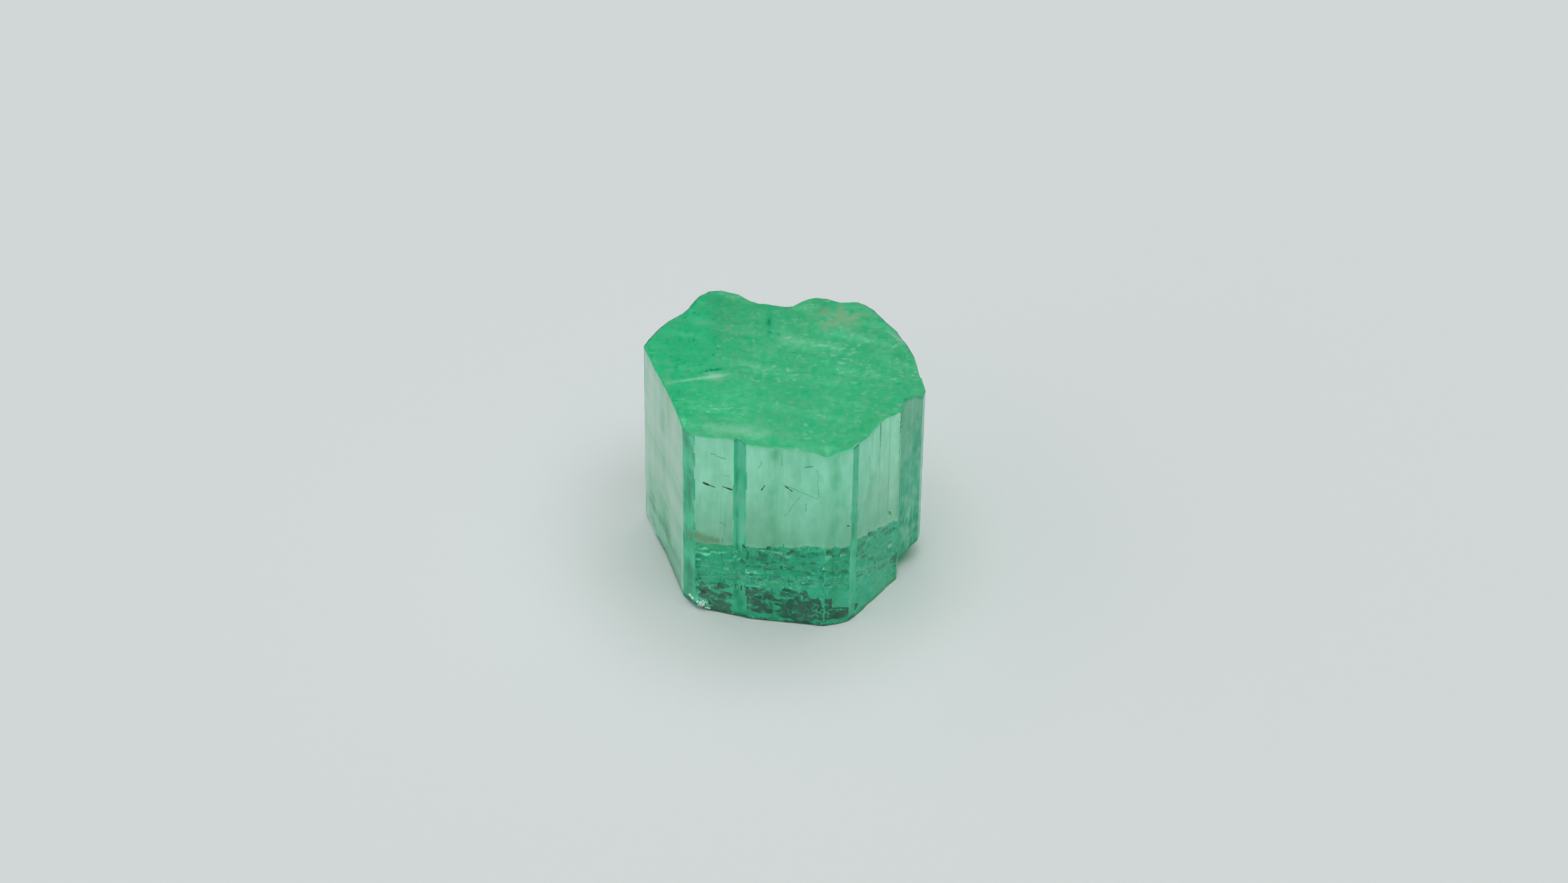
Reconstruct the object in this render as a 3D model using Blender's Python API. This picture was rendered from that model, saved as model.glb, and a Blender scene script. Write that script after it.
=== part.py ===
"""Emerald crystal: one stubby hexagonal prism of beryl, broken across at the top and at the foot.

The six prism faces follow two sets of headings, 60 degrees apart, and smaller faces cut the corners
between them. A narrow second column has grown against the right-hand side. The front has a shallow
step that fades towards the foot, and the back is narrower at the foot than at the rim. The top is an
uneven break with low ripples and ledges. The foot is a rougher break, and its front half is the flat
that the crystal stands on.
"""

import math

import bmesh
import bpy
import numpy as np

MM = 0.001

# Driving dimensions, in millimetres. X runs to the right, Y to the back and Z up.
CRYSTAL = "emerald_crystal"
BLANK_HEIGHT = 10.8
CELL = 0.24
CUTTER_MARGIN = 0.6
WELD = 0.0001

# Corners of the prism faces at the rim, counterclockwise from the left-hand corner, as (x, y).
LEFT_FACE = [(-5.85, 1.45), (-5.40, 0.10), (-5.30, -0.16), (-5.04, -0.80), (-4.94, -1.02)]
LEFT_BEVEL = [(-4.12, -3.56), (-3.64, -4.24)]
FRONT_STEP = [(-2.02, -4.68), (-1.86, -4.54), (-1.70, -4.54), (-1.50, -4.85), (-1.34, -4.88)]
FRONT_FACE = [(-0.42, -5.00), (-0.36, -4.97), (0.05, -5.05), (0.10, -5.08), (1.78, -5.28)]
FRONT_BEVEL = [(2.42, -5.12), (2.84, -4.97), (3.12, -4.70)]
RIGHT_FACE = [(3.55, -4.16), (3.56, -4.08), (3.98, -3.60), (4.03, -3.52), (4.40, -3.03), (4.42, -2.96)]
RE_ENTRANT = [(4.88, -2.42), (4.94, -1.62)]
SECOND_COLUMN = [(5.30, -1.40), (5.36, -1.30), (5.76, -1.10), (5.86, -0.72), (5.72, 0.05), (5.64, 0.12)]
BACK_RIGHT_FACE = [(5.42, 1.38), (5.06, 2.16), (4.92, 2.36), (4.70, 2.80), (4.22, 3.28), (3.76, 4.12)]
BACK_COLUMN = [(3.34, 4.46), (3.06, 4.60), (2.32, 4.60), (1.80, 4.79), (1.28, 4.84), (0.98, 4.72)]
BACK_GROOVE = [(0.34, 4.24), (0.02, 4.22), (-0.74, 4.37), (-1.12, 4.50), (-1.44, 4.62)]
BACK_LEFT_COLUMN = [(-1.96, 5.01), (-2.70, 5.23), (-3.20, 5.20), (-3.56, 4.92), (-3.92, 4.32), (-4.07, 3.99)]
BACK_LEFT_FACE = [(-4.30, 3.62), (-4.82, 3.18), (-5.06, 2.80), (-5.36, 2.40), (-5.66, 1.85)]

# The same corners at the foot, where the front has no step and the back is narrower.
FOOT_FRONT_STEP = [(-2.02, -4.68), (-1.86, -4.72), (-1.70, -4.76), (-1.50, -4.83), (-1.34, -4.88)]
FOOT_FRONT_FACE = [(-0.42, -5.00), (-0.36, -5.00), (0.05, -5.05), (0.10, -5.06), (1.78, -5.28)]
FOOT_BACK_RIGHT_FACE = [(5.42, 1.38), (5.06, 2.14), (4.92, 2.32), (4.62, 2.54), (4.06, 2.96), (3.56, 3.42)]
FOOT_BACK_COLUMN = [(3.20, 3.62), (2.96, 3.74), (2.30, 3.84), (1.78, 3.86), (1.26, 3.72), (0.98, 3.60)]
FOOT_BACK_GROOVE = [(0.34, 3.56), (0.02, 3.50), (-0.74, 3.40), (-1.10, 3.30), (-1.42, 3.22)]
FOOT_BACK_LEFT_COLUMN = [(-1.92, 3.20), (-2.66, 3.20), (-3.14, 3.18), (-3.48, 3.12), (-3.82, 3.00), (-3.98, 2.92)]
FOOT_BACK_LEFT_FACE = [(-4.26, 2.80), (-4.78, 2.56), (-5.02, 2.36), (-5.34, 2.08), (-5.64, 1.76)]
LEFT = LEFT_FACE + LEFT_BEVEL
RIGHT = FRONT_BEVEL + RIGHT_FACE + RE_ENTRANT + SECOND_COLUMN
RIM_BACK = BACK_RIGHT_FACE + BACK_COLUMN + BACK_GROOVE + BACK_LEFT_COLUMN + BACK_LEFT_FACE
OUTLINE = np.array(LEFT + FRONT_STEP + FRONT_FACE + RIGHT + RIM_BACK)
FOOT_OUTLINE = np.array(
    LEFT
    + FOOT_FRONT_STEP
    + FOOT_FRONT_FACE
    + RIGHT
    + FOOT_BACK_RIGHT_FACE
    + FOOT_BACK_COLUMN
    + FOOT_BACK_GROOVE
    + FOOT_BACK_LEFT_COLUMN
    + FOOT_BACK_LEFT_FACE
)
SHIFT = -(OUTLINE.min(axis=0) + OUTLINE.max(axis=0)) / 2.0

# Upper break: the mean height of the rim and the break, its slopes, and its relief.
RIM_HEIGHT = 9.40
TOP_HEIGHT = 9.62
TOP_RISE_TO_FRONT = 0.045
TOP_DIP_TO_RIGHT = 0.012
TOP_RIPPLE = 0.026
TOP_LEDGE = 0.16

# Lower break: treads in its rear half, a crest across its middle and a lifted foot of the column.
TREAD = 0.95
TREAD_FLAT = 0.35
TREAD_RISE = 0.06
CREST = 0.17
CREST_PLACE = -0.60
CREST_WIDTH = 0.55
SECOND_COLUMN_LIFT = 0.30
SECOND_COLUMN_SLOPE = 0.75


def smoothstep(low, high, value):
    """0 below low, 1 above high, and an S-shaped rise between them."""
    t = np.clip((value - low) / (high - low), 0.0, 1.0)
    return t * t * (3.0 - 2.0 * t)


def mound(x, y, centre, reach, heading=0.0):
    """1 at the centre, falling to 0 as a bell, reach long and wide, turned by heading in degrees."""
    turn = math.radians(heading)
    along = (x - centre[0]) * math.cos(turn) + (y - centre[1]) * math.sin(turn)
    across = (y - centre[1]) * math.cos(turn) - (x - centre[0]) * math.sin(turn)
    return np.exp(-((along / reach[0]) ** 2) - (across / reach[1]) ** 2)


def upper_break(x, y):
    """Height of the upper break: a sloping plane, long ripples, ledges, and a rim that is raised
    or worn in places."""
    plane = TOP_HEIGHT - TOP_RISE_TO_FRONT * y - TOP_DIP_TO_RIGHT * x
    bend = 0.35 * np.sin(0.9 * x + 0.5) + 0.2 * np.sin(2.3 * x)
    ripple = TOP_RIPPLE * (np.sin(2.6 * (y + bend)) + 0.6 * np.sin(5.7 * y + 1.7 * x + 0.8))
    left_ledge = mound(x, y, (-3.4, -0.1), (1.2, 0.8)) * smoothstep(-0.12, 0.05, y - 0.30 - 0.25 * x)
    back_ledge = smoothstep(-0.1, 0.15, x + 0.45 + 0.12 * y) * smoothstep(1.2, 2.4, y)
    right_wear = smoothstep(4.4, 5.9, x + 0.06 * y)
    ledges = TOP_LEDGE * (0.5 * left_ledge + 0.35 * back_ledge - 1.7 * right_wear)
    raised = 0.13 * mound(x, y, (0.3, -4.9), (1.2, 0.9)) + 0.33 * mound(x, y, (4.1, -3.4), (0.9, 0.8))
    raised = raised + 0.17 * mound(x, y, (-2.2, -4.6), (0.7, 0.5)) + 0.18 * mound(x, y, (3.1, -4.7), (0.4, 0.5))
    sunk = 0.05 * mound(x, y, (0.4, 0.6), (2.4, 1.5), -12.0) + 0.17 * mound(x, y, (-4.2, -3.75), (0.6, 0.5))
    sunk = sunk + 0.10 * mound(x, y, (1.8, -5.3), (0.3, 0.5))
    return plane + ripple + ledges + raised - sunk


def lower_break(x, y):
    """Height of the foot: treads that climb to the back in its rear half, a rough crest across its
    middle, a crushed corner at the front left and the oblique break under the second column. Below
    zero nothing is taken away."""
    lane = y + 0.02 * x
    step = (lane - 0.2 + 0.26 * np.sin(1.1 * x) + 0.10 * np.sin(2.9 * x + 1.0)) / TREAD
    part = step - np.floor(step)
    treads = TREAD_RISE * np.maximum(part - TREAD_FLAT, 0.0) / (1.0 - TREAD_FLAT) * smoothstep(0.0, 0.3, lane)
    uneven = 0.55 + 0.45 * np.sin(2.1 * x + 0.6) * np.sin(0.9 * x + 2.0)
    crest = CREST * uneven * np.exp(-(((lane - CREST_PLACE) / CREST_WIDTH) ** 2)) - 0.01
    crushed = 0.34 * mound(x, y, (-3.9, -4.3), (0.8, 0.55), -35.0) - 0.12
    outward = (x - 4.86) + 0.07 * (y + 1.7)
    under_column = SECOND_COLUMN_LIFT * smoothstep(-0.15, 0.15, outward) + SECOND_COLUMN_SLOPE * outward
    inner = np.maximum(np.maximum(treads, crest), crushed)
    return np.maximum(inner, under_column - 0.03)


def placed(corners):
    """The corners moved so that the rim's bounding box is centred on the origin, in metres."""
    return (corners + SHIFT) * MM


def clear_scene():
    for leftover in list(bpy.data.objects):
        bpy.data.objects.remove(leftover)


def new_collection(name):
    collection = bpy.data.collections.new(name)
    bpy.context.scene.collection.children.link(collection)
    return collection


def beryl_material():
    """Clear green beryl: polished-looking growth faces, with light lost to the green inside."""
    material = bpy.data.materials.new("emerald_beryl")
    material.use_nodes = True
    shader = material.node_tree.nodes["Principled BSDF"]
    shader.inputs["Base Color"].default_value = (0.10, 0.60, 0.34, 1.0)
    shader.inputs["Metallic"].default_value = 0.0
    shader.inputs["Roughness"].default_value = 0.06
    shader.inputs["IOR"].default_value = 1.577
    shader.inputs["Transmission Weight"].default_value = 0.9
    return material


def lean_outwards(shape):
    """Moves each corner at the top of the blank, so that the walls run from the outline of the foot
    through the outline of the rim at the rim's height."""
    foot = placed(FOOT_OUTLINE)
    lean = (placed(OUTLINE) - foot) * (BLANK_HEIGHT / RIM_HEIGHT)
    for vertex in shape.verts:
        if vertex.co.z > 0.0:
            corner = np.argmin(np.hypot(foot[:, 0] - vertex.co.x, foot[:, 1] - vertex.co.y))
            vertex.co.x += lean[corner, 0]
            vertex.co.y += lean[corner, 1]


def prism_blank(collection):
    """The foot outline as a filled curve, extruded to a blank taller than the crystal, as a mesh."""
    curve = bpy.data.curves.new("prism_outline", "CURVE")
    curve.dimensions = "2D"
    curve.fill_mode = "BOTH"
    curve.extrude = BLANK_HEIGHT * MM / 2.0
    corners = placed(FOOT_OUTLINE)
    spline = curve.splines.new("POLY")
    spline.points.add(len(corners) - 1)
    for point, (x, y) in zip(spline.points, corners):
        point.co = (x, y, 0.0, 1.0)
    spline.use_cyclic_u = True
    outline = bpy.data.objects.new("prism_outline", curve)
    outline.location.z = BLANK_HEIGHT * MM / 2.0
    collection.objects.link(outline)
    bpy.context.view_layer.update()
    evaluated = outline.evaluated_get(bpy.context.evaluated_depsgraph_get())
    mesh = bpy.data.meshes.new_from_object(evaluated)
    shape = bmesh.new()
    shape.from_mesh(mesh)
    bmesh.ops.remove_doubles(shape, verts=shape.verts, dist=WELD * MM)
    lean_outwards(shape)
    bmesh.ops.triangulate(shape, faces=shape.faces)
    shape.to_mesh(mesh)
    shape.free()
    blank = bpy.data.objects.new(CRYSTAL, mesh)
    blank.matrix_world = outline.matrix_world
    collection.objects.link(blank)
    bpy.data.objects.remove(outline)
    return blank


def break_cutter(name, height, flat_level, collection):
    """A closed block over the whole outline, between flat_level and the height function."""
    half = np.abs(OUTLINE + SHIFT).max(axis=0) + CUTTER_MARGIN
    cells = np.ceil(2.0 * half / CELL).astype(int)
    shape = bmesh.new()
    bmesh.ops.create_grid(shape, x_segments=int(cells[0]), y_segments=int(cells[1]), size=1.0)
    for vertex in shape.verts:
        x = vertex.co.x * half[0]
        y = vertex.co.y * half[1]
        vertex.co = (x * MM, y * MM, float(height(x - SHIFT[0], y - SHIFT[1])) * MM)
    skirt = bmesh.ops.extrude_face_region(shape, geom=shape.faces[:])
    for element in skirt["geom"]:
        if isinstance(element, bmesh.types.BMVert):
            element.co.z = flat_level * MM
    bmesh.ops.recalc_face_normals(shape, faces=shape.faces)
    mesh = bpy.data.meshes.new(name)
    shape.to_mesh(mesh)
    shape.free()
    cutter = bpy.data.objects.new(name, mesh)
    cutter.hide_render = True
    cutter.display_type = "WIRE"
    collection.objects.link(cutter)
    return cutter


def cut(target, cutter):
    boolean = target.modifiers.new("cut_" + cutter.name, "BOOLEAN")
    boolean.operation = "DIFFERENCE"
    boolean.solver = "EXACT"
    boolean.object = cutter


def build_crystal():
    parts = new_collection("emerald")
    cutters = new_collection("cutters")
    crystal = prism_blank(parts)
    crystal.data.materials.clear()
    crystal.data.materials.append(beryl_material())
    cut(crystal, break_cutter("upper_break", upper_break, BLANK_HEIGHT + 1.0, cutters))
    cut(crystal, break_cutter("lower_break", lower_break, -1.0, cutters))
    return crystal


def main():
    clear_scene()
    build_crystal()


main()
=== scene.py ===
"""Looks of an emerald crystal, laid out as a Blender add-on and run as a script.

The crystal is one closed surface worked out with numpy: the outline of the prism, with fine growth
ridges, is carried up as the wall, and the upper and lower breaks close it. It stands for the CAD
solid of the same form. Three small pieces go with it: fluid inclusions and healed cracks just behind
its front faces, and white crumbs on its crushed corner, whose white is partly painted glints.
"""

import math

import bpy
import numpy as np
from bpy.props import FloatProperty, FloatVectorProperty, IntProperty, PointerProperty
from mathutils import Matrix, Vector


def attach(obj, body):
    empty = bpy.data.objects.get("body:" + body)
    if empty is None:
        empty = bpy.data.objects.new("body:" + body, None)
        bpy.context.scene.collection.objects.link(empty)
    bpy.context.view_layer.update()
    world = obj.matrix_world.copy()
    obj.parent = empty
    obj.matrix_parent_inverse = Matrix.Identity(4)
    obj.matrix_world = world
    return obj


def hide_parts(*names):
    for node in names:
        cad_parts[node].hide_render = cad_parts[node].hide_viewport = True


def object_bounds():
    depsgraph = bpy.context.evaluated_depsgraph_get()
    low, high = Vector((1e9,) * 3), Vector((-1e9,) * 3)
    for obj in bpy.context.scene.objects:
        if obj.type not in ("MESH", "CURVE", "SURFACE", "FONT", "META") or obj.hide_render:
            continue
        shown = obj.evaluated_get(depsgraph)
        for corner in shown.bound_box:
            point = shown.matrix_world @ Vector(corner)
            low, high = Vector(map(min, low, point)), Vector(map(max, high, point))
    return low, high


bl_info = {
    "name": "Emerald crystal",
    "version": (1, 0, 0),
    "blender": (4, 5, 0),
    "location": "3D View > Sidebar > Crystal",
    "description": "Builds a stubby emerald crystal on a pale table",
    "category": "Object",
}

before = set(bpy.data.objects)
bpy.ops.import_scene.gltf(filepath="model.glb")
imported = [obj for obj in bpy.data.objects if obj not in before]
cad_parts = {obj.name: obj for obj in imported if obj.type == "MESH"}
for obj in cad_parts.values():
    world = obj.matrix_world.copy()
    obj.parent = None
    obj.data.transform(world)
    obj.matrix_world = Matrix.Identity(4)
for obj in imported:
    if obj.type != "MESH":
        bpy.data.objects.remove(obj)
CAD_LOW, CAD_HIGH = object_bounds()

CRYSTAL_NODE = "emerald_crystal"
BODY = "root"
MM = 0.001

# Lengths and places are in millimetres, on the outline's own axes, and headings are in degrees.

# Corners of the prism faces, counterclockwise from the left-hand corner, as in the CAD.
LEFT_FACE = [(-5.85, 1.45), (-5.40, 0.10), (-5.30, -0.16), (-5.04, -0.80), (-4.94, -1.02)]
LEFT_BEVEL = [(-4.12, -3.56), (-3.64, -4.24)]
FRONT_STEP = [(-2.02, -4.68), (-1.86, -4.54), (-1.70, -4.54), (-1.50, -4.85), (-1.34, -4.88)]
FRONT_FACE = [(-0.42, -5.00), (-0.36, -4.97), (0.05, -5.05), (0.10, -5.08), (1.78, -5.28)]
FRONT_BEVEL = [(2.42, -5.12), (2.84, -4.97), (3.12, -4.70)]
RIGHT_FACE = [(3.55, -4.16), (3.56, -4.08), (3.98, -3.60), (4.03, -3.52), (4.40, -3.03), (4.42, -2.96)]
RE_ENTRANT = [(4.88, -2.42), (4.94, -1.62)]
SECOND_COLUMN = [(5.30, -1.40), (5.36, -1.30), (5.76, -1.10), (5.86, -0.72), (5.72, 0.05), (5.64, 0.12)]
BACK_RIGHT_FACE = [(5.42, 1.38), (5.06, 2.16), (4.92, 2.36), (4.70, 2.80), (4.22, 3.28), (3.76, 4.12)]
BACK_COLUMN = [(3.34, 4.46), (3.06, 4.60), (2.32, 4.60), (1.80, 4.79), (1.28, 4.84), (0.98, 4.72)]
BACK_GROOVE = [(0.34, 4.24), (0.02, 4.22), (-0.74, 4.37), (-1.12, 4.50), (-1.44, 4.62)]
BACK_LEFT_COLUMN = [(-1.96, 5.01), (-2.70, 5.23), (-3.20, 5.20), (-3.56, 4.92), (-3.92, 4.32), (-4.07, 3.99)]
BACK_LEFT_FACE = [(-4.30, 3.62), (-4.82, 3.18), (-5.06, 2.80), (-5.36, 2.40), (-5.66, 1.85)]

# The same corners at the foot, where the front has no step and the back is narrower.
FOOT_FRONT_STEP = [(-2.02, -4.68), (-1.86, -4.72), (-1.70, -4.76), (-1.50, -4.83), (-1.34, -4.88)]
FOOT_FRONT_FACE = [(-0.42, -5.00), (-0.36, -5.00), (0.05, -5.05), (0.10, -5.06), (1.78, -5.28)]
FOOT_BACK_RIGHT_FACE = [(5.42, 1.38), (5.06, 2.14), (4.92, 2.32), (4.62, 2.54), (4.06, 2.96), (3.56, 3.42)]
FOOT_BACK_COLUMN = [(3.20, 3.62), (2.96, 3.74), (2.30, 3.84), (1.78, 3.86), (1.26, 3.72), (0.98, 3.60)]
FOOT_BACK_GROOVE = [(0.34, 3.56), (0.02, 3.50), (-0.74, 3.40), (-1.10, 3.30), (-1.42, 3.22)]
FOOT_BACK_LEFT_COLUMN = [(-1.92, 3.20), (-2.66, 3.20), (-3.14, 3.18)]
FOOT_BACK_LEFT_COLUMN += [(-3.48, 3.12), (-3.82, 3.00), (-3.98, 2.92)]
FOOT_BACK_LEFT_FACE = [(-4.26, 2.80), (-4.78, 2.56), (-5.02, 2.36), (-5.34, 2.08), (-5.64, 1.76)]

LEFT = LEFT_FACE + LEFT_BEVEL
RIGHT = FRONT_BEVEL + RIGHT_FACE + RE_ENTRANT + SECOND_COLUMN
RIM_BACK = BACK_RIGHT_FACE + BACK_COLUMN + BACK_GROOVE + BACK_LEFT_COLUMN + BACK_LEFT_FACE
FOOT_BACK = FOOT_BACK_RIGHT_FACE + FOOT_BACK_COLUMN + FOOT_BACK_GROOVE + FOOT_BACK_LEFT_COLUMN
FOOT_BACK += FOOT_BACK_LEFT_FACE
OUTLINE = np.array(LEFT + FRONT_STEP + FRONT_FACE + RIGHT + RIM_BACK)
FOOT_OUTLINE = np.array(LEFT + FOOT_FRONT_STEP + FOOT_FRONT_FACE + RIGHT + FOOT_BACK)
SHIFT = -(OUTLINE.min(axis=0) + OUTLINE.max(axis=0)) / 2.0

# The breaks, as in the CAD.
RIM_HEIGHT = 9.40
TOP_HEIGHT = 9.62
TOP_RISE_TO_FRONT = 0.045
TOP_DIP_TO_RIGHT = 0.012
TOP_RIPPLE = 0.026
TOP_LEDGE = 0.16
TREAD = 0.95
TREAD_FLAT = 0.35
TREAD_RISE = 0.06
CREST = 0.17
CREST_PLACE = -0.60
CREST_WIDTH = 0.55
SECOND_COLUMN_LIFT = 0.30
SECOND_COLUMN_SLOPE = 0.75

LATTICE = 256  # how many cells the noise and the bricks have each way before they repeat
FIRST_CELL = 500.0  # number of the cell at the origin, so that no cell has a negative one
PRISM_TURN = -8.0  # heading of the rows of small facets on the foot
RISE = 40  # rows of quads up the wall
EDGE_WEAR = 0.035  # how far the edges of the breaks are worn down
BROAD_RIDGES = 74  # growth ridges round the crystal
FINE_RIDGES = 260
FINE_SHARE = 0.12  # depth of the fine ridges, as a share of the broad ones'

# Finishes of the surface, in the order of its material slots. The last, at the front of the foot, is nearly
# opaque, and its colour there is a painted dark reflection.
GROWTH_FACE, UPPER, FOOT, ETCHED, SATIN, COLUMN, PAINTED_DARK_FRONT = range(7)

# Faces whose finish isn't that of the others, each from one corner to another.
NARROW_FACES = [
    (SATIN, LEFT_FACE[0], LEFT_BEVEL[0]),
    (ETCHED, LEFT_BEVEL[0], LEFT_BEVEL[1]),
    (ETCHED, FRONT_STEP[0], FRONT_STEP[3]),
    (ETCHED, FRONT_BEVEL[1], FRONT_BEVEL[2]),
    (COLUMN, RE_ENTRANT[0], SECOND_COLUMN[4]),
]
STEP_GAP_ROWS = (6.5, 15.5)  # rows between which the front step is too shallow to be etched
LANES_ROUND = 400.0  # how many units the way round is for the noise in the finishes
RAGGED_SHARE = 0.0016  # how far the edge between two finishes strays, as a share of the way round
WORN_EDGES = [LEFT_BEVEL[1], FRONT_FACE[4], FRONT_BEVEL[1], RIGHT_FACE[0]]
EDGE_SHARE = 0.0008  # half the width of a worn edge, as a share of the way round the outline
WORN_ROWS = 19  # rows up the wall that the worn edges reach
CRUSHED_ROWS = 2  # rows up the wall that the crushed corner reaches
CRUSHED_FROM, CRUSHED_TO = -3.90, -3.00  # x between which the corner is crushed
FRONT_Y = -3.0  # y that only the front faces pass
UNDER_COLUMN_FROM = 4.55  # x where the break under the second column begins
PAINTED_DARK_LANE = -1.1  # how far back the painted dark reflection on the foot reaches

# Places on the upper break that are raised or sunk, as in the CAD: how far at the middle, the middle,
# the reach and, if any, the heading.
RAISED_AND_SUNK = [
    (0.13, (0.3, -4.9), (1.2, 0.9)),
    (0.33, (4.1, -3.4), (0.9, 0.8)),
    (0.17, (-2.2, -4.6), (0.7, 0.5)),
    (0.18, (3.1, -4.7), (0.4, 0.5)),
    (-0.05, (0.4, 0.6), (2.4, 1.5), -12.0),
    (-0.17, (-4.2, -3.75), (0.6, 0.5)),
    (-0.10, (1.8, -5.3), (0.3, 0.5)),
]

# Marks on the foot. Each has how much paler it makes the break at its middle, the middle's x and y,
# and its reach along x and y. In the dark patches, a painted dark reflection at the front of the foot, the
# first is how dark instead.
REAR_MARKS = [
    (-0.35, (0.85, 3.2), (0.32, 0.20)),
    (-0.35, (1.69, 1.97), (0.26, 0.13)),
    (-0.16, (-0.7, 2.4), (0.55, 0.9)),
    (-0.16, (1.15, 0.8), (0.8, 0.4)),
    (0.45, (0.0, 1.3), (0.07, 1.2)),
]
MIDDLE_MARKS = [(0.20, (-2.5, -0.6), (1.1, 0.5)), (0.16, (-0.8, -0.9), (0.5, 0.35))]
PAINTED_DARK_PATCHES = [
    (1.0, (-2.50, -2.7), (0.80, 2.1)),
    (1.0, (-0.80, -2.5), (0.46, 1.7)),
    (1.0, (0.8, -2.9), (0.95, 2.4)),
    (1.0, (2.2, -3.9), (0.55, 0.6)),
]

# Marks and painted light on the upper break, in the same way, with a heading: a painted highlight on
# the band along the front left of the rim, which slopes down to the front, and the duller place beside
# it, a painted highlight on the ledge at the left with a painted shade as the dark line behind it, and
# the chip at the right.
UPPER_MARKS_AND_PAINTED_LIGHT = [
    (0.36, (-2.2, -3.9), (1.6, 0.50), -6.0),
    (-0.10, (1.9, -5.2), (0.3, 0.4)),
    (0.25, (-3.6, -0.66), (0.85, 0.13), 14.0),
    (0.40, (-2.8, -0.46), (0.45, 0.22), 20.0),
    (-0.30, (-2.9, -0.10), (0.45, 0.08), 18.0),
    (0.45, (4.68, 2.35), (0.42, 0.12), -50.0),
]

# Inclusions just behind the front faces: x and z of both ends of each line, half the width of its
# flakes, and how many flakes make it.
FLUID_INCLUSIONS = [
    (-3.30, 7.27, -3.00, 7.17, 0.060, 1),
    (-3.04, 7.19, -2.76, 7.12, 0.030, 1),
    (-2.50, 7.26, -2.30, 7.21, 0.025, 1),
    (-2.34, 7.22, -2.04, 7.17, 0.055, 1),
    (-0.72, 7.74, -0.88, 7.42, 0.028, 2),
    (-1.75, 7.00, -1.72, 6.20, 0.030, 2),
    (0.08, 7.80, 0.40, 7.52, 0.035, 2),
    (0.86, 8.96, 1.24, 9.06, 0.018, 1),
    (2.68, 5.55, 2.82, 5.50, 0.030, 1),
]
HEALED_CRACKS = [
    (-2.43, 7.92, -2.18, 7.90, 0.020, 2),
    (-0.89, 9.05, -0.97, 8.64, 0.022, 3),
    (-0.05, 9.62, -0.03, 8.92, 0.020, 4),
    (-0.03, 7.90, 1.42, 7.24, 0.022, 16),
    (0.10, 6.10, 0.69, 7.25, 0.018, 12),
    (0.92, 6.95, 0.97, 6.48, 0.024, 3),
    (1.40, 8.90, 1.48, 7.30, 0.016, 9),
    (-2.95, 9.00, -2.35, 8.80, 0.030, 6),
    (-2.60, 5.20, -2.30, 5.05, 0.026, 4),
    (3.60, 8.60, 3.66, 7.20, 0.016, 8),
    (4.44, 4.40, 4.52, 4.14, 0.080, 1),
]
# Crumbs on the crushed corner: crushed beryl whose white is partly painted glints.
CRUSHED_CORNER = [
    (-3.86, 0.50, -3.66, 0.44, 0.055, 2),
    (-3.56, 0.38, -3.20, 0.26, 0.090, 3),
    (-3.50, 0.24, -3.26, 0.18, 0.065, 3),
    (-3.32, 0.48, -3.12, 0.42, 0.040, 2),
    (-3.20, 0.14, -2.96, 0.12, 0.040, 3),
]
FLAKE_DEPTH = 0.12  # how far behind the face the inclusions lie
FLAKE_THICKNESS = 0.4  # how thick an inclusion is, as a share of its width
CRUMB_DEPTH = -0.02  # the crumbs stand just outside the face instead
CRUMB_THICKNESS = 1.0
FACE_STEP = 0.03  # how far apart two places on a face are to find its heading
BALL_PARTS = 8  # how many parts a flake has round it
BALL_LEVELS = (-45.0, 0.0, 45.0)  # and at which levels its vertices lie

# The crystal's body takes light out by the density times what each colour lacks of 1, per metre.
BODY_COLOUR = (0.45, 0.972, 0.93, 1.0)
BODY_DENSITY = 150.0
BERYL_IOR = 1.577

# Colours of the foot by its tone, and of iron on the faces and on the milky upper break.
FOOT_STOPS = [(0.0, "0E7074"), (0.26, "20BABC"), (0.48, "50F8FF"), (0.78, "B8FCFF"), (1.0, "F8FFFF")]
IRON = "A89C48"
IRON_ON_UPPER = "D6E4BC"


def smoothstep(low, high, value):
    """0 at low, 1 at high, and an S-shaped rise between them."""
    t = np.clip((value - low) / (high - low), 0.0, 1.0)
    return t * t * (3.0 - 2.0 * t)


def turned(x, y, heading):
    """How far each place lies along and across a heading in degrees."""
    turn = math.radians(heading)
    return x * math.cos(turn) + y * math.sin(turn), y * math.cos(turn) - x * math.sin(turn)


def mound(x, y, centre, reach, heading=0.0):
    """1 at the centre, falling to 0 as a bell, reach long and wide, turned by heading in degrees."""
    along, across = turned(x - centre[0], y - centre[1], heading)
    return np.exp(-((along / reach[0]) ** 2) - (across / reach[1]) ** 2)


def marks(x, y, table):
    """The sum of the mounds in a table, each with its strength, centre, reach and, if any, heading."""
    return sum(strength * mound(x, y, *place) for strength, *place in table)


def bell(value, middle, reach):
    """1 at the middle, falling to 0 as a bell with this reach."""
    return np.exp(-(((value - middle) / reach) ** 2))


def unit(vectors):
    """The vectors, one in each row, made one long."""
    return vectors / np.linalg.norm(vectors, axis=1, keepdims=True)


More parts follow.
